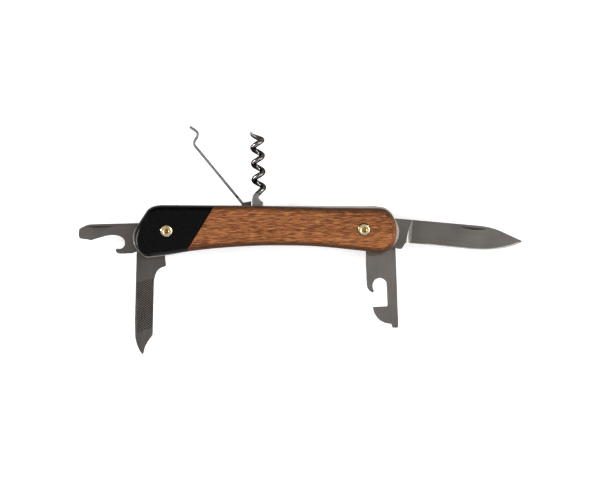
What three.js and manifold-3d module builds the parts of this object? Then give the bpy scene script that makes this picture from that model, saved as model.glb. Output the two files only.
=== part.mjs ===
// Folding camping knife: two tool layers between three liners, wood scales with black bolsters.
// Millimetres. X runs along the handle to the main blade, Y is up the handle's depth, and Z is
// the thickness: the knife lies on its rear scale, whose outer face is z = 0.
import * as THREE from 'three';
import { mergeVertices } from 'three/addons/utils/BufferGeometryUtils.js';
import Module from 'manifold-3d';

const wasm = await Module();
wasm.setup();

// Thickness of each layer
const scaleThickness = 4.2;
const outerLinerThickness = 0.8;
const middleLinerThickness = 0.6;
const toolThickness = 2.3;
const sideClearance = 0.1;

// Pivots of the four belly tools, and the size of their round tangs
const rightPivot = new THREE.Vector2(40.5, -0.7);
const leftPivot = new THREE.Vector2(-40.5, -2.8);
const tangRadius = 5.15;
const linerEndRadius = 6.75;
const linerInset = 0.15;
const backHeight = 8.6;
const bellyHeight = -5.4;
const pivotPinRadius = 1.25;
const pivotHeadRadius = 2.0;
const pivotHeadHeight = 0.4;

// Pins of the two back tools and of the springs
const corkscrewPivot = new THREE.Vector2(-2.7, 6.9);
const hookPivotHeight = 6.4;
const springPinPlace = new THREE.Vector2(-4.4, 2.3);
const backPinRadius = 0.9;
const springPinRadius = 1.1;

// Clearances
const runningClearance = 0.08;
const fixedClearance = 0.03;
const springClearance = 0.1;
const pocketClearance = 0.25;
const seamGap = 0.08;

// Scales and bolsters
const edgeRound = 2.2;
const seamPoint = new THREE.Vector2(-22.3, 2.0);
const seamAngle = 56;
const rivetHeadRadius = 2.2;
const rivetHeadHeight = 0.75;
const rivetShankRadius = 1.3;
const rivetCupRadius = 1.15;
const rivetCupDepth = 1.1;
const rivetRecess = 0.05;
const rivetHeadClearance = 0.12;
const leftRivetStep = new THREE.Vector2(5.2, 2.5);
const rightRivetStep = new THREE.Vector2(-5.7, 0.9);

// Angles of the tools as they lie open here, in degrees
const mainBladeAngle = -5;
const canOpenerAngle = -87.6;
const capLifterAngle = 1.4;
const nailFileAngle = 88.5;
const corkscrewAngle = 92.3;
const hookAngle = 129.6;

// Main blade, measured from its pivot, with its spine at +Y
const mainBladeLength = 50.7;
const mainBladeSpine = 5.3;
const mainBladeEdge = 3.0;
const mainBladeClipStart = 38;
const plungeStart = 10.2;
const bladeEdgeThickness = 0.4;
const mainBladeNickStart = 28.6;
const mainBladeNickLength = 8.8;
const nickDepth = 0.5;

// Can opener, measured from its pivot, with its spine at +Y
const canOpenerLength = 34.3;
const canOpenerSpine = 5.1;
const canClawSide = 5.5;
const canClawReach = 21.4;
const canNotchStart = 16.3;
const canHookStart = 26.5;
const canNotchFloor = 1.55;

// Cap lifter and screwdriver, measured from its pivot, with its spine at +Y
const capLifterLength = 26;
const capLifterSpine = 5.3;
const capNotchFloor = 1.05;
const capNotchStart = 9.65;
const capLifterNickStart = 14;
const capLifterNickLength = 8.6;

// Nail file, measured from its pivot, with its spine at +Y
const nailFileLength = 41.4;
const nailFileSpine = 5.2;
const nailFileEdge = 1.05;
const nailFileHeelEnd = 9.9;

// Corkscrew, measured from its pin, with its worm pointing along +X
const wormWireRadius = 0.95;
const wormRadius = 1.48;
const wormPitch = 5.67;
const wormTurns = 3.25;
const wormAxisOffset = -0.52;
const wormFirstSide = 8.15;
const wormPointLength = 1.9;
const corkscrewTangRadius = 1.9;
const corkscrewTangReach = 2.2;

// Hook, measured from its pin, with its rod pointing along +X
const hookRodRadius = 0.44;
const hookRodLength = 29.6;
const hookRise = 3.7;
const hookTangRadius = 1.9;

// Springs
const springArmThickness = 1.6;
const channelSpringThickness = 1.3;
const frontChannelThickness = 2.2;
const frontArmThickness = 3.0;
const springLugWall = 0.7;
const channelClearance = 0.1;
const backTangClearance = 0.15;

const roundSides = 24;
const curveSides = 6;
const wireSides = 8;

const degrees = THREE.MathUtils.degToRad;
const layerThickness = toolThickness + 2 * sideClearance;
const rearLinerZ = scaleThickness;
const rearLayerZ = rearLinerZ + outerLinerThickness;
const middleLinerZ = rearLayerZ + layerThickness;
const frontLayerZ = middleLinerZ + middleLinerThickness;
const frontLinerZ = frontLayerZ + layerThickness;
const frontScaleZ = frontLinerZ + outerLinerThickness;
const wholeThickness = frontScaleZ + scaleThickness;

const origin = new THREE.Vector2(0, 0);
const leftRivetPlace = leftPivot.clone().add(leftRivetStep);
const rightRivetPlace = rightPivot.clone().add(rightRivetStep);
const backPinsApart = corkscrewTangReach + backPinRadius + backTangClearance;
const hookPivot = new THREE.Vector2(corkscrewPivot.x - backPinsApart, hookPivotHeight);
const beyond = 2 * (rightPivot.x - leftPivot.x);

// Solids

function toSolid(geometry) {
  const bare = geometry.clone();
  bare.deleteAttribute('normal');
  bare.deleteAttribute('uv');
  const merged = mergeVertices(bare);
  const corners = merged.index.array;
  const faces = [];
  for (let start = 0; start < corners.length; start += 3) {
    const face = corners.slice(start, start + 3);
    if (new Set(face).size === 3) {
      faces.push(...face);
    }
  }
  const mesh = new wasm.Mesh({
    numProp: 3,
    vertProperties: new Float32Array(merged.attributes.position.array),
    triVerts: new Uint32Array(faces),
  });
  mesh.merge();
  return new wasm.Manifold(mesh);
}

function toGeometry(solid) {
  const mesh = solid.getMesh();
  const geometry = new THREE.BufferGeometry();
  geometry.setAttribute('position', new THREE.BufferAttribute(mesh.vertProperties, 3));
  geometry.setIndex(new THREE.BufferAttribute(mesh.triVerts, 1));
  geometry.computeVertexNormals();
  return geometry;
}

function plate(shape, lowZ, highZ) {
  const options = { depth: highZ - lowZ, bevelEnabled: false, curveSegments: curveSides };
  return toSolid(new THREE.ExtrudeGeometry(shape, options).translate(0, 0, lowZ));
}

function disc(place, radius, lowZ, highZ) {
  const geometry = new THREE.CylinderGeometry(radius, radius, highZ - lowZ, roundSides);
  geometry.rotateX(Math.PI / 2);
  geometry.translate(place.x, place.y, (lowZ + highZ) / 2);
  return toSolid(geometry);
}

function turned(profile, place, lowZ) {
  const geometry = new THREE.LatheGeometry(profile, roundSides);
  geometry.rotateX(Math.PI / 2);
  geometry.translate(place.x, place.y, lowZ);
  return toSolid(geometry);
}

function profileOf(points) {
  return points.map(([radius, height]) => new THREE.Vector2(radius, height));
}

function block(lowCorner, highCorner) {
  const size = new THREE.Vector3().subVectors(highCorner, lowCorner);
  const middle = new THREE.Vector3().addVectors(highCorner, lowCorner).multiplyScalar(0.5);
  return new THREE.BoxGeometry(size.x, size.y, size.z).translate(middle.x, middle.y, middle.z);
}

// A shape's mirror image in the Y axis, for the tools that point to the left
function mirrored(shape) {
  return new THREE.Shape(shape.getPoints(curveSides).map((point) => new THREE.Vector2(-point.x, point.y)));
}

// Outlines. A step with two numbers is a line's end, one with four a curve's control and its end.
// Steps are measured from a place, such as the pivot that a rounded end goes round.

function follow(shape, place, steps) {
  for (const step of steps) {
    const [firstX, firstY, endX, endY] = step;
    if (step.length === 2) {
      shape.lineTo(place.x + firstX, place.y + firstY);
    } else {
      shape.quadraticCurveTo(place.x + firstX, place.y + firstY, place.x + endX, place.y + endY);
    }
  }
}

function started(x, y) {
  const shape = new THREE.Shape();
  shape.moveTo(x, y);
  return shape;
}

// The belly's hollow curve, from the left end's foot to the right end's
function bellyLine(shape, inset) {
  shape.splineThru([
    new THREE.Vector2(-17.6, bellyHeight - 1.0 + inset),
    new THREE.Vector2(-6, bellyHeight - 0.2 + inset),
    new THREE.Vector2(5, bellyHeight + inset),
    new THREE.Vector2(18.3, bellyHeight - 0.4 + inset),
    new THREE.Vector2(rightPivot.x - 5.2, rightPivot.y - 6.8 + inset),
  ]);
}

function linerOutline() {
  const shape = started(-1, backHeight);
  follow(shape, leftPivot, [
    [1.9, 11.35],
    [-0.1, 11.2, -1.1, 10],
    [-3.9, 5.9],
  ]);
  shape.absarc(leftPivot.x, leftPivot.y, linerEndRadius, degrees(135), degrees(232), false);
  follow(shape, leftPivot, [
    [-2.9, -6.9, -1.1, -6.95],
    [6.5, -6.3, 13.7, -4.7 + linerInset],
  ]);
  bellyLine(shape, linerInset);
  follow(shape, rightPivot, [[-2.5, -6.9, 0, -linerEndRadius]]);
  shape.absarc(rightPivot.x, rightPivot.y, linerEndRadius, degrees(-90), degrees(30), false);
  follow(shape, rightPivot, [
    [4.1, 6.7],
    [2.5, 8.6, 0.9, 8.7],
    [-2, 8.95],
    [-19.5, 8.95],
  ]);
  return shape;
}

function scaleOutline() {
  const shape = started(-1, backHeight);
  follow(shape, leftPivot, [
    [4, 11.55],
    [0.1, 11.5, -1.4, 9.7],
    [-4.5, 5.4],
    [-6.1, 2.6, -5.8, -0.6],
    [-5.6, -4.8, -3, -6.3],
    [-1.8, -6.8, -0.1, -6.6],
    [6.5, -6.0, 13.7, -4.7],
  ]);
  bellyLine(shape, 0);
  follow(shape, rightPivot, [
    [-2.5, -7.25, 0.1, -7.3],
    [3.1, -7.2, 4.7, -4.7],
    [6, -2.5, 5.8, 0.7],
    [5.7, 4.1, 4.3, 5.9],
    [2.4, 8.3, -0.1, 8.45],
    [-19.5, 8.65],
  ]);
  return shape;
}

// Liners

const pinHoles = [
  { place: leftPivot, radius: pivotPinRadius },
  { place: rightPivot, radius: pivotPinRadius },
  { place: corkscrewPivot, radius: backPinRadius },
  { place: hookPivot, radius: backPinRadius },
  { place: springPinPlace, radius: springPinRadius },
];

function liner(lowZ, thickness) {
  let solid = plate(linerOutline(), lowZ, lowZ + thickness);
  for (const hole of pinHoles) {
    solid = solid.subtract(disc(hole.place, hole.radius + fixedClearance, lowZ - 1, lowZ + thickness + 1));
  }
  return solid;
}

function outerLiner(lowZ) {
  let solid = liner(lowZ, outerLinerThickness);
  for (const place of [leftRivetPlace, rightRivetPlace]) {
    const radius = rivetShankRadius + fixedClearance;
    solid = solid.subtract(disc(place, radius, lowZ - 1, lowZ + outerLinerThickness + 1));
  }
  return solid;
}

// The folded worm lies in this cut-out, open to the back
function middleLiner() {
  const floorY = channelTopStart - 0.35;
  const channel = started(wormChannelStart, backHeight + 4);
  channel.lineTo(wormChannelStart, floorY + 1);
  channel.quadraticCurveTo(wormChannelStart, floorY, wormChannelStart + 1, floorY);
  channel.lineTo(wormChannelEnd - 1, floorY + 0.8);
  channel.quadraticCurveTo(wormChannelEnd, floorY + 0.9, wormChannelEnd, floorY + 1.8);
  channel.lineTo(wormChannelEnd, backHeight + 4);
  const lowZ = middleLinerZ;
  const cut = plate(channel, lowZ - 1, lowZ + middleLinerThickness + 1);
  return liner(lowZ, middleLinerThickness).subtract(cut);
}

// Back springs. Each arm rests just clear of the round tangs, its middle is held by the spring pin
// under the back tools, and it dips below the folded worm.

const rightArmUnder = new THREE.Vector2(rightPivot.x, rightPivot.y + tangRadius + springClearance);
const leftArmUnder = new THREE.Vector2(leftPivot.x, leftPivot.y + tangRadius + springClearance);
const wormChannelStart = corkscrewPivot.x + 4.2;
const wormReach = wormFirstSide + wormTurns * wormPitch + wormPointLength;
const wormChannelEnd = corkscrewPivot.x + wormReach + 2.4;
const wormBottom = corkscrewPivot.y + wormAxisOffset - wormRadius - wormWireRadius;
const channelTopStart = wormBottom + channelClearance;
const channelTopEnd = channelTopStart + 1.0;
const lugTop = corkscrewPivot.y - corkscrewTangReach - backTangClearance;
const hookLugTop = hookPivot.y - hookTangRadius - backTangClearance;
const lugBottom = springPinPlace.y - springPinRadius - springLugWall;

function springLug(thickness) {
  const shape = started(springPinPlace.x - 7.6, leftArmUnder.y);
  shape.quadraticCurveTo(springPinPlace.x - 4.6, leftArmUnder.y, springPinPlace.x - 3, lugBottom + 0.7);
  shape.quadraticCurveTo(springPinPlace.x - 2.2, lugBottom, springPinPlace.x - 1, lugBottom);
  shape.lineTo(springPinPlace.x + 1, lugBottom);
  const channelUnder = channelTopStart - thickness;
  shape.quadraticCurveTo(springPinPlace.x + 2.9, lugBottom, wormChannelStart + 0.5, channelUnder);
  return shape;
}

function rightArm(shape, thickness) {
  const dipEnd = wormChannelEnd - 3.7;
  shape.lineTo(dipEnd, channelTopEnd - thickness);
  shape.lineTo(dipEnd + 3, channelTopEnd - thickness + 0.4);
  shape.quadraticCurveTo(dipEnd + 4.1, rightArmUnder.y - 0.1, dipEnd + 5.9, rightArmUnder.y);
  follow(shape, rightArmUnder, [
    [4.7, 0],
    [3.8, 1.25],
    [2.2, 3.05, 0.7, 3.2],
    [-2.1, 3.5],
  ]);
  follow(shape, new THREE.Vector2(dipEnd, rightArmUnder.y), [
    [6.3, 3.5],
    [4.7, 3.45, 4.1, 2.25],
  ]);
  shape.quadraticCurveTo(dipEnd + 3.1, channelTopEnd + 0.1, dipEnd, channelTopEnd);
  shape.lineTo(wormChannelStart + 0.5, channelTopStart);
}

// The left end of an arm follows the liners' edge down to the tang
const armEndSteps = [
  [-3.7, 0.45],
  [-3.9, 0],
];

function frontSpringOutline() {
  const shape = springLug(frontChannelThickness);
  rightArm(shape, frontChannelThickness);
  shape.lineTo(corkscrewPivot.x + 3.7, lugTop);
  shape.lineTo(hookPivot.x, lugTop);
  follow(shape, new THREE.Vector2(hookPivot.x, leftArmUnder.y), [
    [-1.6, frontArmThickness, -3.6, frontArmThickness],
  ]);
  follow(shape, leftArmUnder, [
    [10, frontArmThickness],
    [7.5, frontArmThickness, 6.9, 4.75],
    [6.5, 5.9, 5.3, 5.9],
    [2.1, 5.9],
    [0.1, 5.75, -0.9, 4.55],
    ...armEndSteps,
  ]);
  return shape;
}

function rearSpringOutline() {
  const shape = springLug(channelSpringThickness);
  rightArm(shape, channelSpringThickness);
  shape.lineTo(corkscrewPivot.x + 3.7, channelTopStart);
  shape.quadraticCurveTo(corkscrewPivot.x + 2.7, hookLugTop, corkscrewPivot.x + 1.2, hookLugTop);
  shape.lineTo(springPinPlace.x - 3.6, hookLugTop);
  shape.lineTo(springPinPlace.x - 7.6, leftArmUnder.y + springArmThickness);
  follow(shape, leftArmUnder, [
    [-2.4, springArmThickness],
    ...armEndSteps,
  ]);
  return shape;
}

function spring(outline, layerZ) {
  const lowZ = layerZ + sideClearance;
  const highZ = lowZ + toolThickness;
  const hole = disc(springPinPlace, springPinRadius + fixedClearance, lowZ - 1, highZ + 1);
  return plate(outline, lowZ, highZ).subtract(hole);
}

// Pins. The pivot pins have low heads in pockets under the scales; the others end flush.

function pivotPin(place) {
  const length = frontScaleZ - rearLinerZ;
  const points = [
    [0, -pivotHeadHeight],
    [pivotHeadRadius, -pivotHeadHeight],
    [pivotHeadRadius, 0],
    [pivotPinRadius, 0],
    [pivotPinRadius, length],
    [pivotHeadRadius, length],
    [pivotHeadRadius, length + pivotHeadHeight],
    [0, length + pivotHeadHeight],
  ];
  return turned(profileOf(points), place, rearLinerZ);
}

function flushPin(place, radius) {
  return disc(place, radius, rearLinerZ, frontScaleZ);
}

// A rivet's profile from the liner side out: shank, head, domed rim, hollow cup
function rivetProfile() {
  const length = scaleThickness + outerLinerThickness - rivetRecess;
  const headZ = length - rivetHeadHeight;
  const rim = (rivetHeadRadius + rivetCupRadius) / 2;
  const points = [
    [0, 0],
    [rivetShankRadius, 0],
    [rivetShankRadius, headZ],
    [rivetHeadRadius, headZ],
    [rivetHeadRadius, headZ + 0.3],
    [rivetHeadRadius - 0.15, length - 0.15],
    [rim, length],
    [rivetCupRadius + 0.12, length - 0.15],
    [rivetCupRadius, length - 0.4],
    [rivetCupRadius, length - rivetCupDepth],
    [0, length - rivetCupDepth],
  ];
  return profileOf(points);
}

function frontRivet(place) {
  return turned(rivetProfile(), place, frontLinerZ);
}

function rearRivet(place) {
  const profile = rivetProfile().map((point) => new THREE.Vector2(point.x, -point.y)).reverse();
  return turned(profile, place, rearLayerZ);
}

// Scales: a rounded slab over the whole side, parted along the slanted seam

function sideSlab(isFront) {
  const options = {
    depth: scaleThickness,
    bevelThickness: edgeRound,
    bevelSize: edgeRound,
    bevelOffset: -edgeRound,
    bevelSegments: 3,
    curveSegments: curveSides,
  };
  const lowZ = isFront ? frontScaleZ : 0;
  const slab = new THREE.ExtrudeGeometry(scaleOutline(), options);
  slab.translate(0, 0, isFront ? wholeThickness - scaleThickness - edgeRound : edgeRound);
  const lowCorner = new THREE.Vector3(-beyond, -beyond, lowZ);
  const side = block(lowCorner, new THREE.Vector3(beyond, beyond, lowZ + scaleThickness));
  let solid = toSolid(slab).intersect(toSolid(side));
  const innerZ = isFront ? frontScaleZ : rearLinerZ;
  for (const place of [leftPivot, rightPivot]) {
    const depth = pivotHeadHeight + pocketClearance;
    solid = solid.subtract(disc(place, pivotHeadRadius + pocketClearance, innerZ - depth, innerZ + depth));
  }
  const headDepth = rivetHeadHeight + rivetRecess;
  const headLow = isFront ? wholeThickness - headDepth : -1;
  const headHigh = isFront ? wholeThickness + 1 : headDepth;
  const shankHole = rivetShankRadius + fixedClearance;
  for (const place of [leftRivetPlace, rightRivetPlace]) {
    solid = solid.subtract(disc(place, shankHole, lowZ - 1, lowZ + scaleThickness + 1));
    solid = solid.subtract(disc(place, rivetHeadRadius + rivetHeadClearance, headLow, headHigh));
  }
  return solid;
}

// The half of space on one side of the seam: -1 for the bolster's, 1 for the wood's
function seamSide(way) {
  const nearEdge = way * seamGap / 2;
  const farEdge = way * beyond;
  const low = new THREE.Vector3(Math.min(nearEdge, farEdge), -beyond, -beyond);
  const high = new THREE.Vector3(Math.max(nearEdge, farEdge), beyond, beyond);
  const half = block(low, high);
  half.rotateZ(degrees(seamAngle - 90));
  half.translate(seamPoint.x, seamPoint.y, 0);
  return toSolid(half);
}

// Tools. Each outline has the tool's pivot at its origin and the tool pointing along +X.

function pinHole(radius) {
  return disc(origin, radius + runningClearance, -toolThickness, toolThickness);
}

function toolPlate(shape, holeRadius) {
  return plate(shape, -toolThickness / 2, toolThickness / 2).subtract(pinHole(holeRadius));
}

// A slim lens cut into a tool's front face for a fingernail
function nailNick(startX, length, highY, depthY, way) {
  const shape = started(startX, highY);
  shape.quadraticCurveTo(startX + length / 2, highY - depthY * 2, startX + length, highY);
  shape.lineTo(startX, highY);
  const lens = way > 0 ? shape : mirrored(shape);
  return plate(lens, toolThickness / 2 - nickDepth, toolThickness);
}

function mainBladeOutline() {
  const shape = new THREE.Shape();
  shape.absarc(0, 0, tangRadius, degrees(90), degrees(270), false);
  follow(shape, origin, [
    [5.6, -tangRadius],
    [7.6, -5.6, 8.2, -5.2],
    [9.2, -3.3],
    [9.9, -2.3, 10.8, -2.9],
    [16.8, -mainBladeEdge + 0.2],
    [mainBladeClipStart - 5.5, -mainBladeEdge],
    [mainBladeLength * 0.85, -2.6, mainBladeLength - 0.4, 0.45],
    [mainBladeLength, 0.9, mainBladeLength - 0.5, 1.5],
    [mainBladeLength - 6.6, 3.7],
    [mainBladeClipStart + 2.2, mainBladeSpine - 0.1, mainBladeClipStart - 3, mainBladeSpine],
    [5.4, mainBladeSpine],
    [4.9, tangRadius],
  ]);
  return shape;
}

// Each side is ground flat from the spine to the edge, beyond the curved plunge line
function bladeGrind(side) {
  const width = mainBladeSpine + mainBladeEdge;
  const slope = Math.atan((toolThickness - bladeEdgeThickness) / 2 / width);
  const depth = toolThickness * 2;
  const shape = started(plungeStart + 0.8, 1);
  follow(shape, origin, [
    [plungeStart - 0.6, -width * 0.4, plungeStart, -width - 1],
    [plungeStart - 0.4, -width * 2],
    [mainBladeLength * 2, -width * 2],
    [mainBladeLength * 2, 1],
  ]);
  const options = { depth, bevelEnabled: false, curveSegments: curveSides };
  const wedge = new THREE.ExtrudeGeometry(shape, options);
  wedge.translate(0, 0, side < 0 ? -depth : 0);
  wedge.rotateX(side * slope);
  wedge.translate(0, mainBladeSpine, side * toolThickness / 2);
  return toSolid(wedge);
}

function mainBlade() {
  const nick = nailNick(mainBladeNickStart, mainBladeNickLength, mainBladeSpine - 1.1, 0.35, 1);
  return toolPlate(mainBladeOutline(), pivotPinRadius)
    .subtract(bladeGrind(1))
    .subtract(bladeGrind(-1))
    .subtract(nick);
}

function canOpenerOutline() {
  const shape = new THREE.Shape();
  shape.absarc(0, 0, tangRadius, degrees(90), degrees(270), false);
  follow(shape, origin, [
    [11.3, -canClawSide],
    [canClawReach - 3.0, -canClawSide],
    [canClawReach - 1.1, -canClawSide, canClawReach, -3.7],
    [canClawReach, -3.0, canClawReach - 0.7, -3.05],
    [canClawReach - 2.5, -3.9, canNotchStart + 0.9, -3.0],
    [canNotchStart - 0.2, -1.6, canNotchStart, -0.2],
    [canNotchStart + 0.5, 1.5, canNotchStart + 2.4, canNotchFloor],
    [canHookStart - 0.3, canNotchFloor],
    [canHookStart, canNotchFloor - 0.3],
    [canHookStart, -3.4],
    [canHookStart + 0.1, -3.75, canHookStart + 0.5, -3.7],
    [canOpenerLength - 2.1, -2.6, canOpenerLength - 1.5, 2.3],
    [canOpenerLength - 1.4, 2.8, canOpenerLength - 0.8, 2.85],
    [canOpenerLength - 0.1, 3.0],
    [canOpenerLength, 4.5],
    [canOpenerLength, 4.9, canOpenerLength - 0.5, canOpenerSpine - 0.15],
    [6.4, canOpenerSpine],
    [5.9, tangRadius],
  ]);
  return shape;
}

function canOpener() {
  return toolPlate(canOpenerOutline(), pivotPinRadius);
}

function capLifterOutline() {
  const shape = new THREE.Shape();
  shape.absarc(0, 0, tangRadius, degrees(90), degrees(270), false);
  follow(shape, origin, [
    [6, -tangRadius],
    [11.9, -tangRadius],
    [12.7, -4.9, 12.95, -3.9],
    [12.9, -3.5, 12.4, -3.55],
    [10.6, -3.9, capNotchStart + 0.1, -2.3],
    [capNotchStart - 0.3, capNotchFloor - 0.85, capNotchStart + 1.85, capNotchFloor],
    [capNotchStart + 4.35, capNotchFloor + 0.95, capNotchStart + 7.85, capNotchFloor - 0.05],
    [capLifterLength - 4.7, -0.1],
    [capLifterLength - 4.2, -0.25, capLifterLength - 3.6, 0],
    [capLifterLength - 0.6, 0.45],
    [capLifterLength - 0.1, 0.6, capLifterLength, 1.8],
    [capLifterLength - 0.15, 3.6],
    [capLifterLength - 0.6, 4.2, capLifterLength - 2.9, capLifterSpine - 0.3],
    [capLifterLength - 4, capLifterSpine, capLifterLength - 5.1, capLifterSpine],
    [4.6, capLifterSpine],
    [4.1, tangRadius],
  ]);
  return shape;
}

function capLifter() {
  const nick = nailNick(capLifterNickStart, capLifterNickLength, capLifterSpine - 0.65, 0.4, -1);
  return toolPlate(mirrored(capLifterOutline()), pivotPinRadius).subtract(nick);
}

function nailFileOutline() {
  const shape = new THREE.Shape();
  shape.absarc(0, 0, tangRadius, degrees(90), degrees(270), false);
  follow(shape, origin, [
    [nailFileHeelEnd - 0.3, -tangRadius],
    [nailFileHeelEnd + 0.2, -5.0, 10.2, -4.4],
    [10.9, -1.2, 16.2, -nailFileEdge],
    [nailFileLength - 6.8, -nailFileEdge - 0.05],
    [nailFileLength - 3.6, 1.4, nailFileLength - 1.7, 1.7],
    [nailFileLength - 0.4, 1.95],
    [nailFileLength + 0.2, 2.2, nailFileLength - 0.2, 2.7],
    [nailFileLength - 2.8, 4.6, nailFileLength - 6.2, nailFileSpine - 0.25],
    [nailFileLength - 12.6, nailFileSpine],
    [5.4, nailFileSpine],
    [4.9, tangRadius],
  ]);
  return shape;
}

function nailFile() {
  return toolPlate(mirrored(nailFileOutline()), pivotPinRadius);
}

// Corkscrew: the wire leaves the front of the tang and winds right-handed round the worm's axis,
// which lies midway between the outer liners

const wormDepth = -(layerThickness + middleLinerThickness) / 2;

function wormPoint(turn) {
  const angle = turn * 2 * Math.PI;
  const along = wormFirstSide + (turn - 0.25) * wormPitch;
  return new THREE.Vector3(
    along,
    wormAxisOffset - wormRadius * Math.sin(angle),
    wormDepth + wormRadius * Math.cos(angle),
  );
}

// Where the wire leaves its last full turn and closes in on the point
function wormEnd() {
  const side = wormPoint(wormTurns);
  return new THREE.Vector3(side.x + 1.6, wormAxisOffset + wormRadius, wormDepth - wormRadius * 0.5);
}

function wormPath() {
  const points = [
    new THREE.Vector3(3.0, 0.9, 0),
    new THREE.Vector3(4.5, 0.95, 0),
    new THREE.Vector3(5.5, 0.45, 0),
  ];
  const stepsPerTurn = 12;
  for (let step = 1; step <= wormTurns * stepsPerTurn; step += 1) {
    points.push(wormPoint(step / stepsPerTurn));
  }
  const end = wormEnd();
  points.push(new THREE.Vector3(end.x - 0.75, wormAxisOffset, wormDepth - wormRadius));
  points.push(end);
  return new THREE.CatmullRomCurve3(points);
}

function pointCone(base, direction, radius, length) {
  const geometry = new THREE.ConeGeometry(radius, length, wireSides);
  geometry.translate(0, length / 2, 0);
  const up = new THREE.Vector3(0, 1, 0);
  geometry.applyQuaternion(new THREE.Quaternion().setFromUnitVectors(up, direction));
  geometry.translate(base.x, base.y, base.z);
  return toSolid(geometry);
}

function tube(path, radius, steps) {
  const section = new THREE.Shape();
  section.absarc(0, 0, radius, 0, 2 * Math.PI, false);
  const options = { steps, extrudePath: path, bevelEnabled: false, curveSegments: wireSides / 2 };
  return toSolid(new THREE.ExtrudeGeometry(section, options));
}

function corkscrewTangOutline() {
  const shape = new THREE.Shape();
  shape.moveTo(4.7, 1.95);
  follow(shape, origin, [
    [4.2, corkscrewTangReach, 3.4, corkscrewTangReach],
    [0, corkscrewTangReach],
    [-corkscrewTangRadius, corkscrewTangReach, -corkscrewTangRadius, 0.3],
    [-corkscrewTangRadius, -1.6, 0, -1.6],
    [2.9, -1.6],
    [3.6, -0.5, 4.8, -0.2],
    [6.0, -0.4],
    [6.3, 0.7],
  ]);
  return shape;
}

function corkscrew() {
  const worm = tube(wormPath(), wormWireRadius, 80);
  const direction = new THREE.Vector3(0.93, 0.22, 0.3).normalize();
  const point = pointCone(wormEnd(), direction, wormWireRadius, wormPointLength);
  return toolPlate(corkscrewTangOutline(), backPinRadius).add(worm).add(point);
}

// Hook: a thin rod with an S-shaped end, on a flat wedge-shaped tang

function hookPath() {
  const start = hookRodLength;
  return new THREE.CatmullRomCurve3([
    new THREE.Vector3(3.0, -0.06, 0),
    new THREE.Vector3(16, -0.1, 0),
    new THREE.Vector3(start, -0.1, 0),
    new THREE.Vector3(start + 1.5, -0.26, 0),
    new THREE.Vector3(start + 2.3, -1.3, 0),
    new THREE.Vector3(start + 2.8, -2.7, 0),
    new THREE.Vector3(start + 3.7, -hookRise, 0),
    new THREE.Vector3(start + 5.2, -hookRise + 0.1, 0),
    new THREE.Vector3(start + 7.3, -hookRise + 0.75, 0),
  ]);
}

function hookTangOutline() {
  const shape = new THREE.Shape();
  shape.absarc(0, 0, hookTangRadius, degrees(50), degrees(255), false);
  follow(shape, origin, [
    [2.5, -3.0],
    [3.9, -0.6],
    [3.9, 0.5],
  ]);
  return shape;
}

function hook() {
  const rod = tube(hookPath(), hookRodRadius, 48);
  return toolPlate(hookTangOutline(), backPinRadius).add(rod);
}

// Assembly

const steel = { color: 0x77736e, roughness: 0.42, metalness: 0.9 };
const springSteel = { color: 0x8a8781, roughness: 0.4, metalness: 0.9 };
const polishedSteel = { color: 0xa8a7a5, roughness: 0.2, metalness: 0.95 };
const brass = { color: 0xc9a55b, roughness: 0.3, metalness: 0.95 };
const wood = { color: 0x6e3f2c, roughness: 0.55, metalness: 0 };
const black = { color: 0x151516, roughness: 0.5, metalness: 0.1 };

const knife = new THREE.Group();

function piece(name, solid, finish, parent = knife) {
  const mesh = new THREE.Mesh(toGeometry(solid), new THREE.MeshStandardMaterial(finish));
  mesh.name = name;
  parent.add(mesh);
}

function tool(name, solid, finish, pivot, layerZ, angle) {
  const turn = new THREE.Group();
  turn.position.set(pivot.x, pivot.y, layerZ + layerThickness / 2);
  turn.rotation.z = degrees(angle);
  knife.add(turn);
  piece(name, solid, finish, turn);
}

for (const side of ['rear', 'front']) {
  const slab = sideSlab(side === 'front');
  piece(`${side}_wood_scale`, slab.intersect(seamSide(1)), wood);
  piece(`${side}_bolster`, slab.intersect(seamSide(-1)), black);
}
piece('rear_liner', outerLiner(rearLinerZ), springSteel);
piece('middle_liner', middleLiner(), springSteel);
piece('front_liner', outerLiner(frontLinerZ), springSteel);
piece('rear_back_spring', spring(rearSpringOutline(), rearLayerZ), springSteel);
piece('front_back_spring', spring(frontSpringOutline(), frontLayerZ), springSteel);
piece('left_pivot_pin', pivotPin(leftPivot), springSteel);
piece('right_pivot_pin', pivotPin(rightPivot), springSteel);
piece('corkscrew_pin', flushPin(corkscrewPivot, backPinRadius), springSteel);
piece('hook_pin', flushPin(hookPivot, backPinRadius), springSteel);
piece('spring_pin', flushPin(springPinPlace, springPinRadius), springSteel);
piece('front_left_rivet', frontRivet(leftRivetPlace), brass);
piece('front_right_rivet', frontRivet(rightRivetPlace), brass);
piece('rear_left_rivet', rearRivet(leftRivetPlace), brass);
piece('rear_right_rivet', rearRivet(rightRivetPlace), brass);

tool('main_blade', mainBlade(), steel, rightPivot, frontLayerZ, mainBladeAngle);
tool('cap_lifter_screwdriver', capLifter(), steel, leftPivot, frontLayerZ, capLifterAngle);
tool('can_opener', canOpener(), steel, rightPivot, rearLayerZ, canOpenerAngle);
tool('nail_file', nailFile(), steel, leftPivot, rearLayerZ, nailFileAngle);
tool('corkscrew', corkscrew(), polishedSteel, corkscrewPivot, frontLayerZ, corkscrewAngle);
tool('pick_hook', hook(), steel, hookPivot, rearLayerZ, hookAngle);

export default knife;
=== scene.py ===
import math

import bpy
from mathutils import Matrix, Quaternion, Vector


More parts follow.
